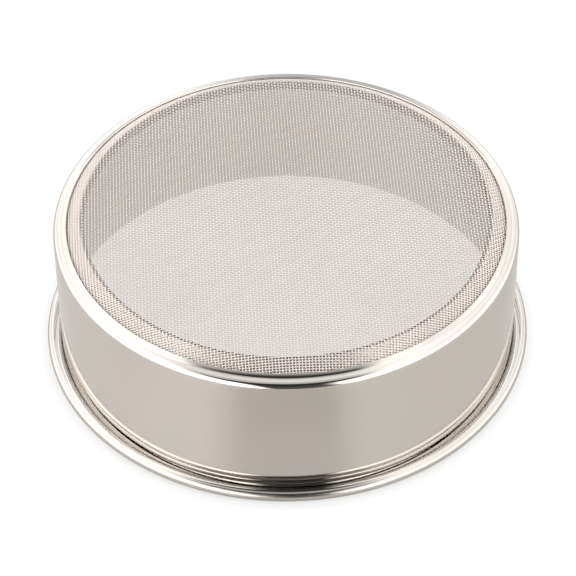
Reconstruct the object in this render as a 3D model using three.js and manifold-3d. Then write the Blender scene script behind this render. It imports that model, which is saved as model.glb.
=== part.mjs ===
// Round flour sieve in polished stainless steel, standing on its open end with the wire cloth on top.
//
// Three pieces make the object. A thin drawn drum has a rounded shoulder and a turned-in lip at the cloth
// end, and a narrow flange with a rolled bead at the open end. A disc of wire cloth bulges out over a
// pressed clamp ring, and the edge of the lip presses the sloping margin of the cloth onto that ring.
//
// Units are millimetres, +Z is up, and the origin is on the axis at the face that the flange stands on.

import * as THREE from 'three';
import { mergeGeometries, mergeVertices } from 'three/addons/utils/BufferGeometryUtils.js';
import Module from 'manifold-3d';

const wasm = await Module();
wasm.setup();

// Drum
const WALL_RADIUS = 77.6; // outside of the straight wall
const SHOULDER_HEIGHT = 49.7; // floor to the top of the rounded shoulder
const SHEET = 0.5; // drum sheet
const SHOULDER_RADIUS = 2; // outside of the shoulder
const SHOULDER_TURN = 82; // degrees that the shoulder turns in, from the wall
const LIP_FLAT = 1.1; // nearly level part of the lip, inside the shoulder
const LIP_HEM = 1.63; // edge of the lip, pressed up along the slope of the cloth
const SLOPE = 33.5; // degrees, slope of the lip's edge, the cloth's margin and the ring
const FOOT_RADIUS = 1.5; // hollow bend from the wall to the flange
const FLANGE_RADIUS = 82.5; // outside of the rolled bead
const BEAD_RADIUS = 2; // outside of the rolled bead's section
const CURL_END = 70; // degrees, where the rolled sheet stops short of the top

// Wire cloth
const CLOTH = 0.8; // thickness of the woven cloth
const CLOTH_RISE = 3.5; // flat cloth above the shoulder
const MARGIN_RISE = 0.6; // trapped edge of the cloth above the start of the shoulder
const NET_GAPS = 17; // gaps across the flat cloth, a coarse stand-in for the weave
const NET_BAR = 1; // width of the bars between those gaps
const LEAST_GAP = 0.1; // share of a whole gap below which a cut-off gap at the edge stays closed

// Clamp ring
const RING_SHEET = 0.6;
const HEM_DEPTH = 2; // turned-down inner edge
const HOOP_DEPTH = 1.8; // turned-down outer edge, along the drum wall

// Fits
const FIT_GAP = 0.3; // between pieces that touch
const MARGIN_GAP = 0.6; // cloth edge to the drum wall

// Facets
const TURN_STEPS = 64; // round the axis
const SHOULDER_STEPS = 6;
const FOOT_STEPS = 4;
const BEAD_STEPS = 8;
const WELD = 1e-4; // vertices closer than this are one

// Points are (distance from the axis, height). Angles are in degrees, from outward to up.
function heading(degrees) {
  const angle = THREE.MathUtils.degToRad(degrees);
  return new THREE.Vector2(Math.cos(angle), Math.sin(angle));
}

const wallInside = WALL_RADIUS - SHEET;
const shoulderCentre = new THREE.Vector2(WALL_RADIUS - SHOULDER_RADIUS, SHOULDER_HEIGHT - SHOULDER_RADIUS);
const footCentre = new THREE.Vector2(WALL_RADIUS + FOOT_RADIUS, SHEET + FOOT_RADIUS);
const beadCentre = new THREE.Vector2(FLANGE_RADIUS - BEAD_RADIUS, BEAD_RADIUS);

const lipStart = shoulderCentre.clone().addScaledVector(heading(SHOULDER_TURN), SHOULDER_RADIUS);
const lipBend = lipStart.clone().addScaledVector(heading(SHOULDER_TURN + 90), LIP_FLAT);
const lipEdge = lipBend.clone().addScaledVector(heading(180 - SLOPE), LIP_HEM);

const clothTop = SHOULDER_HEIGHT + CLOTH_RISE;
const marginTop = shoulderCentre.y + MARGIN_RISE;
const underLip = lipEdge.clone().addScaledVector(heading(270 - SLOPE), SHEET + FIT_GAP);
const grade = Math.tan(THREE.MathUtils.degToRad(SLOPE));
const clothRadius = underLip.x - (clothTop - underLip.y) / grade;
const marginRadius = underLip.x + (underLip.y - marginTop) / grade;

function arc(centre, radius, fromDegrees, toDegrees, steps) {
  const from = THREE.MathUtils.degToRad(fromDegrees);
  const to = THREE.MathUtils.degToRad(toDegrees);
  const curve = new THREE.EllipseCurve(centre.x, centre.y, radius, radius, from, to, to < from);
  return curve.getPoints(steps);
}

// One face of a bent sheet moved to its right by a distance, with mitred corners.
function offsetLine(line, distance) {
  const normals = line.slice(1).map((point, i) => {
    const along = point.clone().sub(line[i]).normalize();
    return new THREE.Vector2(along.y, -along.x);
  });
  return line.map((point, i) => {
    const before = normals[Math.max(i - 1, 0)];
    const after = normals[Math.min(i, normals.length - 1)];
    const mitre = before.clone().add(after).normalize();
    return point.clone().addScaledVector(mitre, distance / mitre.dot(after));
  });
}

// Turns an outline, given clockwise, round the Z axis. It ends where it starts, or both ends are on the axis.
function revolve(outline) {
  const geometry = new THREE.LatheGeometry([...outline].reverse(), TURN_STEPS);
  return welded(geometry.rotateX(Math.PI / 2));
}

// Joins vertices at one place, and drops the triangles that this closes up on the axis.
function welded(geometry) {
  geometry.deleteAttribute('normal');
  geometry.deleteAttribute('uv');
  const merged = mergeVertices(geometry, WELD);
  const corners = merged.index.array;
  const kept = [];
  for (let i = 0; i < corners.length; i += 3) {
    const triangle = corners.slice(i, i + 3);
    if (new Set(triangle).size === 3) kept.push(...triangle);
  }
  merged.setIndex(kept);
  return merged;
}

function toSolid(geometry) {
  const closed = welded(geometry);
  const vertProperties = new Float32Array(closed.attributes.position.array);
  const triVerts = new Uint32Array(closed.index.array);
  return new wasm.Manifold(new wasm.Mesh({ numProp: 3, vertProperties, triVerts }));
}

function toGeometry(solid) {
  const mesh = solid.getMesh();
  const geometry = new THREE.BufferGeometry();
  geometry.setAttribute('position', new THREE.BufferAttribute(mesh.vertProperties, 3));
  geometry.setIndex(new THREE.BufferAttribute(mesh.triVerts, 1));
  return geometry;
}

// The drum is one sheet from the turned-in lip, over the shoulder, down the wall and out to the rolled bead.
function drumShell() {
  const outside = [
    lipEdge,
    lipBend,
    ...arc(shoulderCentre, SHOULDER_RADIUS, SHOULDER_TURN, 0, SHOULDER_STEPS),
    ...arc(footCentre, FOOT_RADIUS, 180, 270, FOOT_STEPS),
    ...arc(beadCentre, BEAD_RADIUS - SHEET, -90, CURL_END, BEAD_STEPS),
  ];
  return revolve([...outside, ...offsetLine(outside, SHEET).reverse(), lipEdge]);
}

// Top of the cloth, from the axis to the trapped outer edge.
const clothLine = [
  new THREE.Vector2(0, clothTop),
  new THREE.Vector2(clothRadius, clothTop),
  new THREE.Vector2(marginRadius, marginTop),
  new THREE.Vector2(wallInside - MARGIN_GAP, marginTop),
];

// Corners of the part of a square gap that lies inside a circle round the axis.
function gapCorners(x, y, size, radius) {
  const half = size / 2;
  const square = [[-half, -half], [half, -half], [half, half], [-half, half]];
  const corners = square.map(([dx, dy]) => new THREE.Vector2(x + dx, y + dy));
  const kept = [];
  corners.forEach((from, i) => {
    const side = corners[(i + 1) % corners.length].clone().sub(from);
    if (from.length() < radius) kept.push(from);
    const nearest = -from.dot(side) / side.lengthSq();
    const foot = from.clone().addScaledVector(side, nearest).length();
    if (foot >= radius) return;
    const reach = Math.sqrt(radius ** 2 - foot ** 2) / side.length();
    for (const t of [nearest - reach, nearest + reach]) {
      if (t > 0 && t < 1) kept.push(from.clone().addScaledVector(side, t));
    }
  });
  return kept;
}

// Prisms through the flat middle of the cloth, one for each gap of the net.
function netGaps() {
  const pitch = (2 * clothRadius) / NET_GAPS;
  const size = pitch - NET_BAR;
  const gaps = [];
  for (let row = 0; row < NET_GAPS; row += 1) {
    for (let column = 0; column < NET_GAPS; column += 1) {
      const x = (column + 0.5) * pitch - clothRadius;
      const y = (row + 0.5) * pitch - clothRadius;
      const corners = gapCorners(x, y, size, clothRadius - NET_BAR);
      if (corners.length < 3 || THREE.ShapeUtils.area(corners) < LEAST_GAP * size ** 2) continue;
      const shape = new THREE.Shape(corners);
      gaps.push(new THREE.ExtrudeGeometry(shape, { depth: 3 * CLOTH, bevelEnabled: false }));
    }
  }
  console.log(`net gaps: ${gaps.length}`);
  return mergeGeometries(gaps).translate(0, 0, clothTop - 2 * CLOTH);
}

function meshScreen() {
  const cloth = revolve([...clothLine, ...offsetLine(clothLine, CLOTH).reverse()]);
  return toGeometry(toSolid(cloth).subtract(toSolid(netGaps())));
}

// The ring follows the underside of the cloth, with its inner edge and its outer edge turned down.
function clampRing() {
  const under = offsetLine(clothLine, CLOTH + FIT_GAP);
  const [, inner, foot] = under;
  const hoopRadius = wallInside - FIT_GAP;
  const line = [
    new THREE.Vector2(inner.x, inner.y - HEM_DEPTH),
    inner,
    foot,
    new THREE.Vector2(hoopRadius, foot.y),
    new THREE.Vector2(hoopRadius, foot.y - HOOP_DEPTH),
  ];
  return revolve([...line, ...offsetLine(line, RING_SHEET).reverse(), line[0]]);
}

function steel(color, roughness) {
  return new THREE.MeshStandardMaterial({ color, roughness, metalness: 1 });
}

function piece(name, geometry, material) {
  const mesh = new THREE.Mesh(geometry, material);
  mesh.name = name;
  return mesh;
}

const sieve = new THREE.Group();
sieve.add(piece('drum_shell', drumShell(), steel('#c9c4be', 0.12)));
sieve.add(piece('mesh_screen', meshScreen(), steel('#d2ccc5', 0.3)));
sieve.add(piece('clamp_ring', clampRing(), steel('#cdc7bf', 0.18)));

export default sieve;
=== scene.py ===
# %% [markdown]
# # A polished flour sieve in Blender
# The object is a round flour sieve in stainless steel: a thin drawn drum, a disc of woven wire cloth and
# a clamp ring that holds the cloth under the drum's lip. It stands upside down, on its flanged open end.
# The imported model gives the size and place of all three pieces, so the lesson starts by loading it and
# reads the sizes from its parts. Lengths are written in millimetres, and MM turns them into the metres
# of the scene.

# %% Load the imported frame
import math

import bpy
import numpy as np
from mathutils import Matrix, Vector


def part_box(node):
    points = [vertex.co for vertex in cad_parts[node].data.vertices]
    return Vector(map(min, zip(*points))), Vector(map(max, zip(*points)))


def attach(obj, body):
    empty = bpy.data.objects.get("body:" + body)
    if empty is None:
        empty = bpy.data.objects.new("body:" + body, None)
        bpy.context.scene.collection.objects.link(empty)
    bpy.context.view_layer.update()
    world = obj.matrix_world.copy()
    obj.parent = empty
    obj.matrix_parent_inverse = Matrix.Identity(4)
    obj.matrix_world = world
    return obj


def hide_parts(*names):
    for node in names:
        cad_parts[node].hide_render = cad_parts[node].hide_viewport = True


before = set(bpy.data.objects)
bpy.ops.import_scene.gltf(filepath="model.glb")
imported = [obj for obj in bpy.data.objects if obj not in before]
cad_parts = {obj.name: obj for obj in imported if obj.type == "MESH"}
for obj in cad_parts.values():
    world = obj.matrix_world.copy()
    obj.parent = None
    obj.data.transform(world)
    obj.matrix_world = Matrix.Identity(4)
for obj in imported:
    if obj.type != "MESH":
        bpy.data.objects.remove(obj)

MM = 0.001

scene = bpy.context.scene
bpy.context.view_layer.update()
print("nodes:", sorted(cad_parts))

# %% [markdown]
# ## The camera
# A long lens far away keeps the rim nearly parallel to the flange, which is how the sieve was seen. The
# camera could be placed by eye, but the rims are circles of known size, so its pitch, distance and focal
# length were fitted to their outlines. It leans a little, which lifts the right side of the picture.

# %% Camera
CAMERA_PITCH = math.radians(43.67)
CAMERA_ROLL = math.radians(0.57)
CAMERA_DISTANCE = 924.6 * MM
CAMERA_TARGET = Vector((0.39, 0.0, 17.93)) * MM
LENS_MM = 169.4

forward = Vector((0.0, math.cos(CAMERA_PITCH), -math.sin(CAMERA_PITCH)))
level_right = Vector((1.0, 0.0, 0.0))
level_up = level_right.cross(forward)
right = level_right * math.cos(CAMERA_ROLL) - level_up * math.sin(CAMERA_ROLL)
up = level_right * math.sin(CAMERA_ROLL) + level_up * math.cos(CAMERA_ROLL)

camera = bpy.data.objects.new("camera", bpy.data.cameras.new("camera"))
scene.collection.objects.link(camera)
camera.data.lens = LENS_MM
camera.matrix_world = Matrix((right, up, -forward)).transposed().to_4x4()
camera.location = CAMERA_TARGET - forward * CAMERA_DISTANCE
scene.camera = camera
scene.view_settings.view_transform = "Standard"
print("camera at", [round(v, 3) for v in camera.location])

# %% [markdown]
# ## Colours and nodes
# Every finish below is a node tree. Colours are easiest to pick as the hex codes of a picture, which are
# sRGB, while shaders work in linear light, so one function converts them. A second one adds a node, sets
# its fields and fills its inputs, with either a value or the output of another node. A Mix node has the
# same socket names for numbers and for colours, so its colour sockets are picked by number.

# %% Colour and node helpers
COLOUR_A = 6
COLOUR_B = 7
COLOUR_OUT = 2


def linear(hex_code):
    """Turns an sRGB hex code into the linear colour that shader sockets take."""
    shares = [int(hex_code[i:i + 2], 16) / 255 for i in (1, 3, 5)]
    return [s / 12.92 if s <= 0.04045 else ((s + 0.055) / 1.055) ** 2.4 for s in shares] + [1.0]


def add_node(tree, kind, inputs=None, **fields):
    """Adds a node. Inputs hold values or the outputs of other nodes, by socket name or number."""
    node = tree.nodes.new(kind)
    for field, value in fields.items():
        setattr(node, field, value)
    for socket, value in (inputs or {}).items():
        if isinstance(value, bpy.types.NodeSocket):
            tree.links.new(value, node.inputs[socket])
        else:
            node.inputs[socket].default_value = value
    return node


def new_material(name):
    """Gives a material, its tree and its output node, with nothing else in the tree."""
    material = bpy.data.materials.new(name)
    material.use_nodes = True
    material.node_tree.nodes.clear()
    output = add_node(material.node_tree, "ShaderNodeOutputMaterial")
    return material, material.node_tree, output


print("mid grey in linear light:", round(linear("#808080")[0], 3))

# %% [markdown]
# ## The floor
# Polished steel shows whatever stands round it, so the floor is half of the finish of the drum. It is a
# plain sheet of white plastic with a little gloss, and that gloss is what draws the soft upright stripes
# on the drum. One shader with a clear coat would do as well, but a matt and a glossy one, mixed, are
# easier to match to the steel.

# %% Floor plastic
FLOOR_WHITE = "#c8c6c3"
LIGHT = "#ffffff"
GLOSS_SHARE = 0.13
GLOSS_BLUR = 0.15

material, tree, output = new_material("white_plastic_sheet")
matt = add_node(tree, "ShaderNodeBsdfDiffuse", {"Color": linear(FLOOR_WHITE)})
gloss = add_node(tree, "ShaderNodeBsdfGlossy", {"Color": linear(LIGHT), "Roughness": GLOSS_BLUR})
plastic = add_node(tree, "ShaderNodeMixShader", {0: GLOSS_SHARE, 1: matt.outputs[0], 2: gloss.outputs[0]})
print("gloss of the floor:", GLOSS_SHARE)

# %% [markdown]
# ### The glow of the floor
# Lamps strong enough to burn the floor out would spoil the steel, so outside the flange the eye sees the
# floor mostly as a glowing white. The rest is the plastic itself, which keeps the shadow. The steel sees
# a small share of the same glow beside the flange, and none of it farther out. Under the drum the glow
# is weaker, so the cloth is seen against the shade it throws.

# %% Floor glow
GLOW_START = 80.0
GLOW_FULL = 86.0
GLOW_UNDER = 0.57
GLOW_SEEN = 0.93
GLOW_MIRRORED = 0.2
MIRRORED_END = 115.0
GLOW_LEVEL = 1.05

place = add_node(tree, "ShaderNodeTexCoord").outputs["Object"]
reach = add_node(tree, "ShaderNodeVectorMath", {0: place}, operation="LENGTH").outputs["Value"]
outside = add_node(tree, "ShaderNodeMapRange",
                   {"Value": reach, "From Min": GLOW_START * MM, "From Max": GLOW_FULL * MM,
                    "To Min": GLOW_UNDER, "To Max": GLOW_SEEN}).outputs[0]
near = add_node(tree, "ShaderNodeMapRange",
                {"Value": reach, "From Min": GLOW_FULL * MM, "From Max": MIRRORED_END * MM,
                 "To Min": GLOW_MIRRORED, "To Max": 0.0}).outputs[0]
path = add_node(tree, "ShaderNodeLightPath").outputs
seen = add_node(tree, "ShaderNodeMath", {0: near, 1: path["Is Glossy Ray"], 2: path["Is Camera Ray"]},
                operation="MULTIPLY_ADD").outputs[0]
share = add_node(tree, "ShaderNodeMath", {0: outside, 1: seen}, operation="MULTIPLY").outputs[0]
glow = add_node(tree, "ShaderNodeEmission", {"Color": linear(LIGHT), "Strength": GLOW_LEVEL})
mixed = add_node(tree, "ShaderNodeMixShader", {0: share, 1: plastic.outputs[0], 2: glow.outputs[0]})
tree.links.new(mixed.outputs[0], output.inputs["Surface"])
print("floor nodes:", len(tree.nodes))

# %% [markdown]
# ### The floor sheet
# A floor without an end would be simpler. This one ends close before the drum, like a table top, so that
# the bends of the lip and the bead can mirror the dark room past its edge.

# %% Floor sheet
FLOOR_SIZE = 12000.0
FRONT_EDGE = 235.0

half = FLOOR_SIZE * MM / 2
front = -FRONT_EDGE * MM
floor_mesh = bpy.data.meshes.new("floor")
floor_mesh.from_pydata([(-half, front, 0), (half, front, 0), (half, half, 0), (-half, half, 0)],
                       [], [(0, 1, 2, 3)])
floor_mesh.materials.append(material)
floor = bpy.data.objects.new("floor", floor_mesh)
scene.collection.objects.link(floor)
print("floor ends", FRONT_EDGE, "mm in front of the axis")

# %% [markdown]
# ## The light tent
# Shiny metal is photographed in a tent of white cloth: bright at both sides, softer above, greyer
# behind, and with an upright slot towards the lens, where the room is dark. Area lamps could stand in
# for each cloth. The world does it with fewer edges: its level is worked out from the direction of the
# ray. Each change of level is a short table of stops, and one helper runs smoothly through such a table.

# %% Smooth stops
def through_stops(tree, value, stops):
    """A level that goes smoothly through (value, level) stops, and is even before and after them."""
    level = stops[0][1]
    for (low, low_level), (high, high_level) in zip(stops, stops[1:]):
        rise = add_node(tree, "ShaderNodeMapRange",
                        {"Value": value, "From Min": low, "From Max": high,
                         "To Max": high_level - low_level},
                        interpolation_type="SMOOTHSTEP").outputs[0]
        level = add_node(tree, "ShaderNodeMath", {0: rise, 1: level}, operation="ADD").outputs[0]
    return level


world = bpy.data.worlds.new("light_tent")
scene.world = world
world.use_nodes = True
tree = world.node_tree
tree.nodes.clear()
print("world:", world.name)

# %% [markdown]
# ### Directions in the tent
# One angle runs from the lens side over the top to the back. A distance to the side tells the middle
# strip from the two side cloths. The slot leans a little and is off centre. The strip is wider above the
# lens side and narrower behind, which is a number added to the distance.

# %% Directions in the tent
SLOT_SHIFT = 0.1
SLOT_LEAN = 0.15
NARROWING = [(40, 0.0), (62, -0.14), (80, -0.14), (95, 0.0), (125, 0.14)]

direction = add_node(tree, "ShaderNodeTexCoord").outputs["Generated"]
aim = add_node(tree, "ShaderNodeSeparateXYZ", {0: direction}).outputs
towards_lens = add_node(tree, "ShaderNodeMath", {0: aim["Y"], 1: -1.0}, operation="MULTIPLY").outputs[0]
turn = add_node(tree, "ShaderNodeMath", {0: aim["Z"], 1: towards_lens}, operation="ARCTAN2").outputs[0]
over = add_node(tree, "ShaderNodeMath", {0: turn}, operation="DEGREES").outputs[0]
leaned = add_node(tree, "ShaderNodeMath", {0: aim["Z"], 1: SLOT_LEAN, 2: aim["X"]},
                  operation="MULTIPLY_ADD").outputs[0]
shifted = add_node(tree, "ShaderNodeMath", {0: leaned, 1: SLOT_SHIFT}, operation="SUBTRACT").outputs[0]
distance = add_node(tree, "ShaderNodeMath", {0: shifted}, operation="ABSOLUTE").outputs[0]
aside = add_node(tree, "ShaderNodeMath", {0: distance, 1: through_stops(tree, over, NARROWING)},
                 operation="ADD").outputs[0]
print("nodes for the directions:", len(tree.nodes))

# %% [markdown]
# ### Levels of the tent
# The middle strip goes from the dark slot to the lit cloth overhead and behind. The side cloths are the
# bright ones, the left one most, and both fade upward and backward. The eye itself sees plain white.

# %% Levels of the tent
MIDDLE_LEVELS = [(5, 0.1), (40, 0.04), (72, 0.04), (81, 0.58), (95, 0.64), (122, 0.92), (158, 0.6)]
SIDE_SHARES = [(0.2, 0.0), (0.36, 1.0)]
SIDE_LEVELS = [(0.42, 1.95), (0.62, 1.55)]
LEFT_TO_RIGHT = [(-0.7, 1.1), (0.7, 0.93)]
BACKWARD_FADING = [(0.3, 1.0), (0.75, 0.66)]
UPWARD_FADING = [(0.2, 1.25), (0.55, 1.0), (0.85, 0.78)]
SEEN_LEVEL = 1.0

side_level = through_stops(tree, aside, SIDE_LEVELS)
for axis, stops in (("X", LEFT_TO_RIGHT), ("Y", BACKWARD_FADING), ("Z", UPWARD_FADING)):
    fading = through_stops(tree, aim[axis], stops)
    side_level = add_node(tree, "ShaderNodeMath", {0: side_level, 1: fading},
                          operation="MULTIPLY").outputs[0]
level = add_node(tree, "ShaderNodeMix",
                 {"Factor": through_stops(tree, aside, SIDE_SHARES),
                  "A": through_stops(tree, over, MIDDLE_LEVELS), "B": side_level}).outputs[0]
path = add_node(tree, "ShaderNodeLightPath").outputs
seen_level = add_node(tree, "ShaderNodeMix",
                      {"Factor": path["Is Camera Ray"], "A": level, "B": SEEN_LEVEL}).outputs[0]
background = add_node(tree, "ShaderNodeBackground", {"Color": linear(LIGHT), "Strength": seen_level})
add_node(tree, "ShaderNodeOutputWorld", {"Surface": background.outputs[0]})
print("tent nodes:", len(tree.nodes))

# %% [markdown]
# ## Sections
# The drum and the ring are bent from thin sheet and are the same all round, so each is one section
# turned round the axis. A section could be drawn as a curve by hand. Here it is a list of points, each
# with its distance from the axis and its height, made of arcs and straights so that the bends are exact.

# %% Section helpers
EASE_STEPS = 8


def arc(centre, radius, start, end, steps):
    """Points on an arc of a section, with angles in degrees from outward."""
    angles = np.radians(np.linspace(start, end, steps + 1))
    return [(centre[0] + radius * math.cos(a), centre[1] + radius * math.sin(a)) for a in angles]


def straight(start, end, steps):
    """Points between two ends, without the ends, which keep a straight wall flat beside its bends."""
    shares = np.linspace(0, 1, steps + 1)[1:-1]
    return [tuple(np.array(start) + (np.array(end) - np.array(start)) * s) for s in shares]


def heading(degrees):
    """A step of 1 mm in the section, at an angle from outward."""
    return np.array((math.cos(math.radians(degrees)), math.sin(math.radians(degrees))))


def eased(line, ease):
    """Rounds each inner corner of a line with a curve that starts and ends at a distance from it."""
    points = [np.array(p, float) for p in line]
    smooth = [points[0]]
    for before, corner, after in zip(points, points[1:], points[2:]):
        reach = min(ease, np.linalg.norm(before - corner) / 2, np.linalg.norm(after - corner) / 2)
        start = corner + (before - corner) / np.linalg.norm(before - corner) * reach
        end = corner + (after - corner) / np.linalg.norm(after - corner) * reach
        for share in np.linspace(0, 1, EASE_STEPS + 1):
            first = start + (corner - start) * share
            second = corner + (end - corner) * share
            smooth.append(first + (second - first) * share)
    return np.array(smooth + [points[-1]])


def sheet_under(line, thickness):
    """The other face of a thin sheet, on the right hand of a line."""
    along = np.gradient(np.asarray(line), axis=0)
    along = along / np.hypot(along[:, 0], along[:, 1])[:, None]
    return line + np.column_stack([along[:, 1], -along[:, 0]]) * thickness


print("steps in an eased corner:", EASE_STEPS)

# %% [markdown]
# ## Turned shapes
# A Screw modifier on a curve would turn a section too. Turning it in code gives quads in even rows, and
# as many steps as a mirror finish needs: facets that a matt part hides would show as stripes in polished
# steel.

# %% Turning a section
TURN_STEPS = 288


def make_piece(name, points, faces):
    """Makes a smooth mesh object from points in mm and lists of the corners of its faces."""
    mesh = bpy.data.meshes.new(name)
    mesh.from_pydata((np.asarray(points) * MM).tolist(), [], faces)
    mesh.shade_smooth()
    piece = bpy.data.objects.new(name, mesh)
    scene.collection.objects.link(piece)
    return piece


def revolve(name, outline):
    """Turns a closed outline, given with the solid on its right hand, round the axis."""
    section = np.array(outline)
    angles = np.linspace(0, 2 * math.pi, TURN_STEPS, endpoint=False)[:, None]
    rings = [section[:, 0] * np.cos(angles), section[:, 0] * np.sin(angles), section[:, 1] + 0 * angles]
    points = np.stack(rings, axis=-1).reshape(-1, 3)
    here = np.arange(len(points)).reshape(TURN_STEPS, len(section))
    ahead = np.roll(here, -1, axis=0)
    quads = np.stack([here, np.roll(here, -1, axis=1), np.roll(ahead, -1, axis=1), ahead], axis=-1)
    return make_piece(name, points, quads.reshape(-1, 4).tolist())


print("turn steps:", TURN_STEPS, "of", 360 / TURN_STEPS, "degrees")

# %% [markdown]
# ## The drum
# One sheet, half a millimetre thick, makes the whole drum. From the cloth end its lip comes down the
# slope of the cloth, levels out and goes round the shoulder into the straight wall. At the floor it
# turns through a hollow bend into a narrow flange and up into a rolled bead, which ends just past its
# top. A Solidify modifier could thicken one face, but the section is drawn with both, so its edges stay
# in hand.

# %% Bends of the drum
WALL_RADIUS = 77.6
SHOULDER_HEIGHT = 49.7
SHEET = 0.5
SHOULDER_RADIUS = 2.0
SHOULDER_TURN = 82
LIP_FLAT = 1.1
LIP_HEM = 1.63
SLOPE = 33.5
FOOT_RADIUS = 1.5
BEAD_RADIUS = 2.0

flange_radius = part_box("drum_shell")[1].x / MM
shoulder_centre = np.array((WALL_RADIUS - SHOULDER_RADIUS, SHOULDER_HEIGHT - SHOULDER_RADIUS))
foot_centre = (WALL_RADIUS + FOOT_RADIUS, SHEET + FOOT_RADIUS)
bead_centre = (flange_radius - BEAD_RADIUS, BEAD_RADIUS)
lip_start = shoulder_centre + SHOULDER_RADIUS * heading(SHOULDER_TURN)
lip_bend = lip_start + LIP_FLAT * heading(SHOULDER_TURN + 90)
lip_edge = lip_bend + LIP_HEM * heading(180 - SLOPE)
print("flange radius:", round(flange_radius, 2), "mm, lip edge at", lip_edge.round(2), "mm")

# %% [markdown]
# ### Cut edges
# The sheet is cut at the lip and at the end of the bead, and its corners are rubbed off there. A Bevel
# modifier would round every bend as well, so the two small curves are part of the section.

# %% Cut edges
CORNER_SHARE = 0.2
CORNER_STEPS = 4


def cut_edge(start, end):
    """The flat cut edge between two faces of a sheet, with its corners rounded, without its ends."""
    start, end = np.array(start), np.array(end)
    spoke = (end - start) * CORNER_SHARE
    outward = np.array((-spoke[1], spoke[0]))
    angles = np.linspace(0, math.pi / 2, CORNER_STEPS + 1)
    first = [start + spoke * (1 - math.cos(a)) + outward * math.sin(a) for a in angles[1:]]
    second = [end - spoke * (1 - math.sin(a)) + outward * math.cos(a) for a in angles[:-1]]
    return [tuple(p) for p in first + second]


print("rubbed corner:", CORNER_SHARE * SHEET, "mm")

# %% [markdown]
# ### The whole section
# The outside runs from the lip to the bead, and the inside comes back along it, one sheet thickness
# away. One even spacing of points would do, but a long wall needs few rows and a tight bend many, so
# each has its own.

# %% Drum shell
LIP_EASE = 0.35
CURL_END = 95
SHOULDER_STEPS = 24
WALL_STEPS = 18
FOOT_STEPS = 16
FLANGE_STEPS = 4
BEAD_STEPS = 32

lip = [tuple(p) for p in eased([lip_edge, lip_bend, lip_start], LIP_EASE)[:-1]]
shoulder = arc(shoulder_centre, SHOULDER_RADIUS, SHOULDER_TURN, 0, SHOULDER_STEPS)
foot = arc(foot_centre, FOOT_RADIUS, 180, 270, FOOT_STEPS)
bead = arc(bead_centre, BEAD_RADIUS - SHEET, -90, CURL_END, BEAD_STEPS)
wall = straight(shoulder[-1], foot[0], WALL_STEPS)
flange = straight(foot[-1], bead[0], FLANGE_STEPS)
outside = lip + shoulder + wall + foot + flange + bead
inside = [tuple(p) for p in sheet_under(outside, SHEET)[::-1]]
drum = revolve("drum_shell_sheet", outside + cut_edge(outside[-1], inside[0])
               + inside + cut_edge(inside[-1], outside[0]))
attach(drum, "root")
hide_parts("drum_shell")
print("drum faces:", len(drum.data.polygons))

# %% [markdown]
# ## The line of the cloth
# The cloth is stretched flat over the ring, then slopes down over it and goes in under the lip, where
# its edge lies trapped. A cloth simulation could press it there, but its form is known. Its bends are
# eased with small arcs, because wire doesn't crease. Wire cloth keeps its length when it is pressed, so
# a point of the flat disc is moved along this line by the same distance from the centre.

# %% Cloth line
WIRE = 0.32
CRIMP = 0.16
CLOTH_HALF = CRIMP + WIRE / 2
LIP_GAP = 0.08
MARGIN_RISE = 0.3
MARGIN_GAP = 0.6
BEND_EASE = 0.6

cloth_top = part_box("mesh_screen")[1].z / MM - CLOTH_HALF
margin_height = shoulder_centre[1] + MARGIN_RISE
under_lip = lip_edge + (SHEET + LIP_GAP + CLOTH_HALF) * heading(270 - SLOPE)
grade = math.tan(math.radians(SLOPE))
cloth_radius = under_lip[0] - (cloth_top - under_lip[1]) / grade
margin_radius = under_lip[0] + (under_lip[1] - margin_height) / grade
corners = [(0, cloth_top), (cloth_radius, cloth_top), (margin_radius, margin_height),
           (WALL_RADIUS - SHEET - MARGIN_GAP, margin_height)]

cloth_line = eased(corners, BEND_EASE)
steps_along = np.diff(cloth_line, axis=0)
cloth_run = np.concatenate([[0], np.cumsum(np.hypot(steps_along[:, 0], steps_along[:, 1]))])
step_lean = np.arctan2(-steps_along[:, 1], steps_along[:, 0])
cloth_lean = np.concatenate([[0], (step_lean[1:] + step_lean[:-1]) / 2, [0]])
flat_radius = cloth_run[-1]
print("cloth cut to a disc of", round(2 * flat_radius, 1), "mm")
print("flat out to", round(cloth_radius, 2), "mm")

# %% [markdown]
# ## Pressing the cloth
# Each point of the flat disc finds its place on the pressed cloth from its distance to the centre. A
# Curve modifier bends a grid in one direction only, so a small table look-up does it. The weave was laid
# in a little off square, so the points are turned first.

# %% From the flat disc to the pressed cloth
CLOTH_TURN = math.radians(3)
TURNED = np.array(((math.cos(CLOTH_TURN), math.sin(CLOTH_TURN)),
                   (-math.sin(CLOTH_TURN), math.cos(CLOTH_TURN))))
LEAST_REACH = 1e-9


def on_cloth(flat_points):
    """Moves points of the flat disc onto the formed cloth, and gives the cloth's normal there."""
    reach = np.hypot(flat_points[:, 0], flat_points[:, 1])
    outward = flat_points / np.maximum(reach, LEAST_REACH)[:, None]
    radius = np.interp(reach, cloth_run, cloth_line[:, 0])
    height = np.interp(reach, cloth_run, cloth_line[:, 1])
    lean = np.interp(reach, cloth_run, cloth_lean)
    places = np.column_stack([outward * radius[:, None], height])
    normals = np.column_stack([outward * np.sin(lean)[:, None], np.cos(lean)])
    return places, normals


print("edge of the disc lands at", on_cloth(np.array([[flat_radius, 0.0]]))[0].round(2), "mm")

# %% [markdown]
# ## Shaping a wire
# The weave shows from a step away, so it is made of real wires and not of a texture with holes. In plain
# weave every wire goes over one crossing wire and under the next: its height swings once every two
# spacings, and its neighbours swing the other way. The wires that run across have a finer count. Each
# wire is a five-sided tube with a ring at every crossing and one between, as light as it can be and
# still round.

# %% One wire
INCH = 25.4
WARP_COUNT = 24
WARP_SPACING = INCH / WARP_COUNT
WEFT_SPACING = 0.87
WIRE_SIDES = 5
RINGS_PER_SPACING = 2


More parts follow.
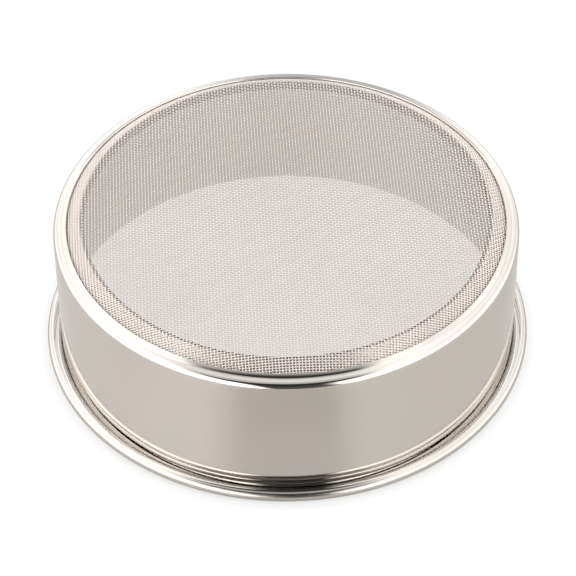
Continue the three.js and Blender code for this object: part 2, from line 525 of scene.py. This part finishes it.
def unit(vectors):
    """Scales each row to a length of one."""
    return vectors / np.linalg.norm(vectors, axis=1)[:, None]


def wire_rings(number, along_y):
    """Rings of points round one wire, counted from the middle of the cloth."""
    apart, step = (WARP_SPACING, WEFT_SPACING) if along_y else (WEFT_SPACING, WARP_SPACING)
    offset = number * apart
    crossings = math.floor(math.sqrt(max(flat_radius ** 2 - offset ** 2, 0)) / step)
    stations = np.arange(-crossings * RINGS_PER_SPACING, crossings * RINGS_PER_SPACING + 1)
    along = stations / RINGS_PER_SPACING
    flat_points = np.column_stack([np.full(len(along), offset), along * step])
    swing = CRIMP * np.cos(math.pi * (along + number))
    if not along_y:
        flat_points = flat_points[:, ::-1]
        swing = -swing
    places, normals = on_cloth(flat_points @ TURNED)
    centres = places + normals * swing[:, None]
    tangents = unit(np.gradient(centres, axis=0))
    upward = unit(normals - tangents * np.sum(normals * tangents, axis=1)[:, None])
    beside = np.cross(tangents, upward)
    angles = np.arange(WIRE_SIDES) * 2 * math.pi / WIRE_SIDES
    spokes = upward[:, None] * np.cos(angles)[:, None] + beside[:, None] * np.sin(angles)[:, None]
    return centres[:, None] + spokes * WIRE / 2


def tube_faces(rings, first):
    """Faces of a tube of rings, with both ends closed, from a first point on."""
    index = first + np.arange(rings * WIRE_SIDES).reshape(rings, WIRE_SIDES)
    here, ahead = index[:-1], index[1:]
    sides = np.stack([here, ahead, np.roll(ahead, -1, axis=1), np.roll(here, -1, axis=1)], axis=-1)
    return sides.reshape(-1, 4).tolist() + [index[0].tolist(), index[-1, ::-1].tolist()]


print("rings in the longest wire:", len(wire_rings(0, True)))

# %% [markdown]
# ## Weaving the cloth
# All the wires that run one way could be one mesh. They are shared out over three bands each way, which
# keeps every mesh light: low, middle and high, counted across the disc.

# %% Bands of wire
MIDDLE_SHARE = 0.27


def weave_band(name, numbers, along_y):
    """One piece of neighbouring wires that run the same way."""
    points, faces, first = [], [], 0
    for number in numbers:
        rings = wire_rings(number, along_y)
        points.append(rings.reshape(-1, 3))
        faces += tube_faces(len(rings), first)
        first += rings.shape[0] * WIRE_SIDES
    return make_piece(name, np.concatenate(points), faces)


wire_pieces = []
for way, apart in (("warp", WARP_SPACING), ("weft", WEFT_SPACING)):
    last_wire = math.floor(flat_radius / apart) - 1
    wire_numbers = np.arange(-last_wire, last_wire + 1)
    middle_band = round(MIDDLE_SHARE * last_wire)
    bands = {"low": wire_numbers[wire_numbers < -middle_band],
             "middle": wire_numbers[abs(wire_numbers) <= middle_band],
             "high": wire_numbers[wire_numbers > middle_band]}
    for band, numbers in bands.items():
        piece = weave_band(f"cloth_{way}_{band}", numbers, way == "warp")
        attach(piece, "root")
        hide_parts("mesh_screen")
        wire_pieces.append(piece)
        print(piece.name, "wires:", len(numbers), "faces:", len(piece.data.polygons))

# %% [markdown]
# ## The clamp ring
# The ring lies under the sloping margin of the cloth and shows through it as a bright backing. It is a
# pressed strip. Its inner edge dips a little inside the bend of the cloth, where a painted shade on it
# shows through the gaps as a dotted line, and its outer edge stands against the wall. It could be a
# turned solid, but as bent sheet it follows the cloth's own line, moved down by half the cloth, so that
# the wires lie on it.

# %% Clamp ring
RING_SHEET = 0.6
HEM_DEPTH = 2.4
EDGE_WIDTH = 1.1
EDGE_FALL = 0.2
HOOP_DEPTH = 1.8
HOOP_GAP = 0.3
RING_EASE = 0.15
WIRE_GAP = 0.04

below = CLOTH_HALF + WIRE_GAP
ring_height = cloth_top - below
ring_foot = margin_height - below
slope_start = cloth_radius - below * math.tan(math.radians(SLOPE / 2))
inner_radius = slope_start - EDGE_WIDTH
hoop_radius = WALL_RADIUS - SHEET - HOOP_GAP
ring_corners = [(inner_radius, ring_height - HEM_DEPTH), (inner_radius, ring_height - EDGE_FALL),
                (slope_start, ring_height), (slope_start + (ring_height - ring_foot) / grade, ring_foot),
                (hoop_radius, ring_foot), (hoop_radius, ring_foot - HOOP_DEPTH)]
ring_top = eased(ring_corners, RING_EASE)
ring_under = sheet_under(ring_top, RING_SHEET)
ring = revolve("clamp_ring_strip", [tuple(p) for p in ring_top] + [tuple(p) for p in ring_under[::-1]])
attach(ring, "root")
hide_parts("clamp_ring")
print("ring faces:", len(ring.data.polygons))

# %% [markdown]
# ## Polished 304 stainless sheet
# The drum is 304 stainless, drawn to shape and buffed on a wheel. To the eye that is a warm grey mirror:
# its colour is that of the floor, a little browner with each bounce. One even metal would look too
# clean, so the sheet differs from place to place. The wheel doesn't reach the outside of the bead well,
# and it stays dull there. A painted mask could mark that zone, but two measures find it: far from the
# axis, and facing out.

# %% Where the sheet is dull
DULL_FROM = 80.6
DULL_FULL = 81.1
FACING_FULL = 0.25
LEVEL_ONLY = (1, 1, 0)

material, tree, output = new_material("polished_304_stainless_sheet")
place = add_node(tree, "ShaderNodeTexCoord").outputs["Object"]
flattened = add_node(tree, "ShaderNodeVectorMath", {0: place, 1: LEVEL_ONLY},
                     operation="MULTIPLY").outputs[0]
reach = add_node(tree, "ShaderNodeVectorMath", {0: flattened}, operation="LENGTH").outputs["Value"]
faces = add_node(tree, "ShaderNodeNewGeometry").outputs["Normal"]
facing_out = add_node(tree, "ShaderNodeVectorMath", {0: faces, 1: flattened},
                      operation="DOT_PRODUCT").outputs["Value"]
out_share = add_node(tree, "ShaderNodeMapRange",
                     {"Value": facing_out, "From Max": FACING_FULL * DULL_FROM * MM}).outputs[0]
far_share = add_node(tree, "ShaderNodeMapRange",
                     {"Value": reach, "From Min": DULL_FROM * MM, "From Max": DULL_FULL * MM}).outputs[0]
dull = add_node(tree, "ShaderNodeMath", {0: out_share, 1: far_share}, operation="MULTIPLY").outputs[0]
print("dull from", DULL_FROM, "mm outward")

# %% [markdown]
# ### Buffing lines and smudges
# Buffing leaves faint lines round the drum, rolling leaves the bead uneven, and hands leave soft
# smudges. All three change how sharp the mirror is and not its colour, so they are noise for the bump
# and the roughness, at the sizes they have on the sheet. Only the lines are drawn coarser, as real ones
# are too fine to show.

# %% Bump and roughness of the sheet
LINE_LENGTH = 40
LINE_WIDTH = 0.7
ROLLING_SIZE = 1.6
SMUDGE_SIZE = 16
FINE_DETAIL = 2.0
SMUDGE_DETAIL = 3.0
BUMP_HEIGHT = 0.05
BUFFED_BUMP = 0.02
ROLLED_BUMP = 0.12
SMUDGE_START = 0.4
SMUDGE_FULL = 0.75
BUFFED_BLUR = 0.04
SMUDGED_BLUR = 0.13
DULL_BLUR = 0.14


def every(millimetres):
    """The scale of a pattern whose features are that far apart, in object space."""
    return 1 / (millimetres * MM)


stretched = add_node(tree, "ShaderNodeVectorMath",
                     {0: place, 1: (every(LINE_LENGTH), every(LINE_LENGTH), every(LINE_WIDTH))},
                     operation="MULTIPLY").outputs[0]
lines = add_node(tree, "ShaderNodeTexNoise",
                 {"Vector": stretched, "Scale": 1.0, "Detail": FINE_DETAIL}).outputs[0]
rolled = add_node(tree, "ShaderNodeTexNoise",
                  {"Vector": place, "Scale": every(ROLLING_SIZE), "Detail": FINE_DETAIL}).outputs[0]
uneven = add_node(tree, "ShaderNodeMix", {"Factor": dull, "A": lines, "B": rolled}).outputs[0]
bump_strength = add_node(tree, "ShaderNodeMapRange",
                         {"Value": dull, "To Min": BUFFED_BUMP, "To Max": ROLLED_BUMP}).outputs[0]
bump = add_node(tree, "ShaderNodeBump",
                {"Height": uneven, "Strength": bump_strength, "Distance": BUMP_HEIGHT * MM}).outputs[0]
smudge = add_node(tree, "ShaderNodeTexNoise",
                  {"Vector": place, "Scale": every(SMUDGE_SIZE), "Detail": SMUDGE_DETAIL}).outputs[0]
blur = add_node(tree, "ShaderNodeMapRange",
                {"Value": smudge, "From Min": SMUDGE_START, "From Max": SMUDGE_FULL,
                 "To Min": BUFFED_BLUR, "To Max": SMUDGED_BLUR}).outputs[0]
roughness = add_node(tree, "ShaderNodeMath", {0: dull, 1: DULL_BLUR, 2: blur},
                     operation="MULTIPLY_ADD").outputs[0]
print("lines every", LINE_WIDTH, "mm, smudges every", SMUDGE_SIZE, "mm")

# %% [markdown]
# ### Tints of the sheet
# Steel isn't one grey. Upright zones of the drum lean to pink or to tan, and a noise stretched along the
# axis gives them. In the gutter above the bead, and wherever the sheet doesn't face outward, as inside
# the drum, the sheet is painted lighter. This is painted light against the shade of these hollows. The
# dull bead is the darkest. Each could be a material of its own, but mixed by where they are they fade
# into each other.

# %% Colour of the sheet
PINK_STEEL = "#e4dcd7"
TAN_STEEL = "#e0dbd3"
DULL_STEEL = "#d8d2cc"
# Painted light for the hollows of the drum: the gutter and the faces that don't face outward.
PAINTED_LIGHT_IN_HOLLOWS = "#edeae7"
ZONE_WIDTH = 30
ZONE_HEIGHT = 200
ZONE_DETAIL = 1.0
ZONE_START = 0.4
ZONE_FULL = 0.6
GUTTER_TOP = 8.0

upright = add_node(tree, "ShaderNodeVectorMath",
                   {0: place, 1: (every(ZONE_WIDTH), every(ZONE_WIDTH), every(ZONE_HEIGHT))},
                   operation="MULTIPLY").outputs[0]
zones = add_node(tree, "ShaderNodeTexNoise",
                 {"Vector": upright, "Scale": 1.0, "Detail": ZONE_DETAIL}).outputs[0]
zone_share = add_node(tree, "ShaderNodeMapRange",
                      {"Value": zones, "From Min": ZONE_START, "From Max": ZONE_FULL}).outputs[0]
zone_tint = add_node(tree, "ShaderNodeMix",
                     {0: zone_share, COLOUR_A: linear(PINK_STEEL), COLOUR_B: linear(TAN_STEEL)},
                     data_type="RGBA").outputs[COLOUR_OUT]
sheet_tint = add_node(tree, "ShaderNodeMix",
                       {0: dull, COLOUR_A: zone_tint, COLOUR_B: linear(DULL_STEEL)},
                       data_type="RGBA").outputs[COLOUR_OUT]
height = add_node(tree, "ShaderNodeSeparateXYZ", {0: place}).outputs["Z"]
# Painted light: below the gutter top, and where the sheet doesn't face outward, it takes the lighter
# colour.
above_gutter = add_node(tree, "ShaderNodeMapRange",
                        {"Value": height, "From Min": GUTTER_TOP * MM / 2,
                         "From Max": GUTTER_TOP * MM}).outputs[0]
outer = add_node(tree, "ShaderNodeMath", {0: above_gutter, 1: out_share}, operation="MINIMUM").outputs[0]
outside_painted_light = add_node(tree, "ShaderNodeMath", {0: outer, 1: dull}, operation="MAXIMUM").outputs[0]
colour = add_node(tree, "ShaderNodeMix",
                  {0: outside_painted_light, COLOUR_A: linear(PAINTED_LIGHT_IN_HOLLOWS), COLOUR_B: sheet_tint},
                  data_type="RGBA").outputs[COLOUR_OUT]
shader = add_node(tree, "ShaderNodeBsdfPrincipled",
                  {"Base Color": colour, "Metallic": 1.0, "Roughness": roughness, "Normal": bump})
tree.links.new(shader.outputs[0], output.inputs["Surface"])
drum.data.materials.append(material)
print("sheet nodes:", len(tree.nodes))

# %% [markdown]
# ## Pressed 304 stainless strip
# The ring is never seen bare. It is left as it came from the press, a satin metal that lights up the
# margin of the cloth from behind. Its inner edge is painted dark, as a painted shade for the crevice
# where the cloth leaves the ring. That edge could have a material of its own, but a mix by the distance
# from the axis lets the painted shade end softly.

# %% Pressed strip
# Painted shade at the inner edge of the ring, where the cloth bends away from it.
PAINTED_EDGE_SHADE = "#3a3632"
PRESSED_STEEL = "#e2ddd8"
SHADE_FULL = 0.15
SHADE_END = 0.25
GRAIN_SIZE = 6
SATIN_LEAST = 0.14
SATIN_MOST = 0.24

material, tree, output = new_material("pressed_304_stainless_strip")
place = add_node(tree, "ShaderNodeTexCoord").outputs["Object"]
flattened = add_node(tree, "ShaderNodeVectorMath", {0: place, 1: LEVEL_ONLY},
                     operation="MULTIPLY").outputs[0]
reach = add_node(tree, "ShaderNodeVectorMath", {0: flattened}, operation="LENGTH").outputs["Value"]
# Painted shade: the ring is dark at its inner edge and plain outside it.
unshaded = add_node(tree, "ShaderNodeMapRange",
                 {"Value": reach, "From Min": (slope_start - SHADE_FULL) * MM,
                  "From Max": (slope_start + SHADE_END) * MM}).outputs[0]
tint = add_node(tree, "ShaderNodeMix",
                {0: unshaded, COLOUR_A: linear(PAINTED_EDGE_SHADE), COLOUR_B: linear(PRESSED_STEEL)},
                data_type="RGBA").outputs[COLOUR_OUT]
grain = add_node(tree, "ShaderNodeTexNoise",
                 {"Vector": place, "Scale": every(GRAIN_SIZE), "Detail": FINE_DETAIL}).outputs[0]
satin = add_node(tree, "ShaderNodeMapRange",
                 {"Value": grain, "To Min": SATIN_LEAST, "To Max": SATIN_MOST}).outputs[0]
shader = add_node(tree, "ShaderNodeBsdfPrincipled",
                  {"Base Color": tint, "Metallic": 1.0, "Roughness": satin})
tree.links.new(shader.outputs[0], output.inputs["Surface"])
ring.data.materials.append(material)
print("ring clean outside", round(slope_start, 2), "mm")

# %% [markdown]
# ## Bright drawn 304 wire
# The cloth is woven from stainless wire drawn through a die, which leaves it bright but finely scored
# along its length. To the eye each wire has a soft streak of light and not a sharp one. The scoring is
# far too fine to model, so roughness stands in for it, a little uneven over a few wires, and a small
# share of the light is scattered as from a matt surface.

# %% Wire finish
WIRE_STEEL = "#fcf4ef"
METAL_SHARE = 0.8
MOTTLE_SIZE = 5
SCORED_LEAST = 0.36
SCORED_MOST = 0.48

material, tree, output = new_material("bright_drawn_304_wire")
place = add_node(tree, "ShaderNodeTexCoord").outputs["Object"]
mottle = add_node(tree, "ShaderNodeTexNoise",
                  {"Vector": place, "Scale": every(MOTTLE_SIZE), "Detail": FINE_DETAIL}).outputs[0]
scored = add_node(tree, "ShaderNodeMapRange",
                  {"Value": mottle, "To Min": SCORED_LEAST, "To Max": SCORED_MOST}).outputs[0]
shader = add_node(tree, "ShaderNodeBsdfPrincipled",
                  {"Base Color": linear(WIRE_STEEL), "Metallic": METAL_SHARE, "Roughness": scored})
tree.links.new(shader.outputs[0], output.inputs["Surface"])
for piece in wire_pieces:
    piece.data.materials.append(material)
print("materials:", sorted(m.name for m in bpy.data.materials))
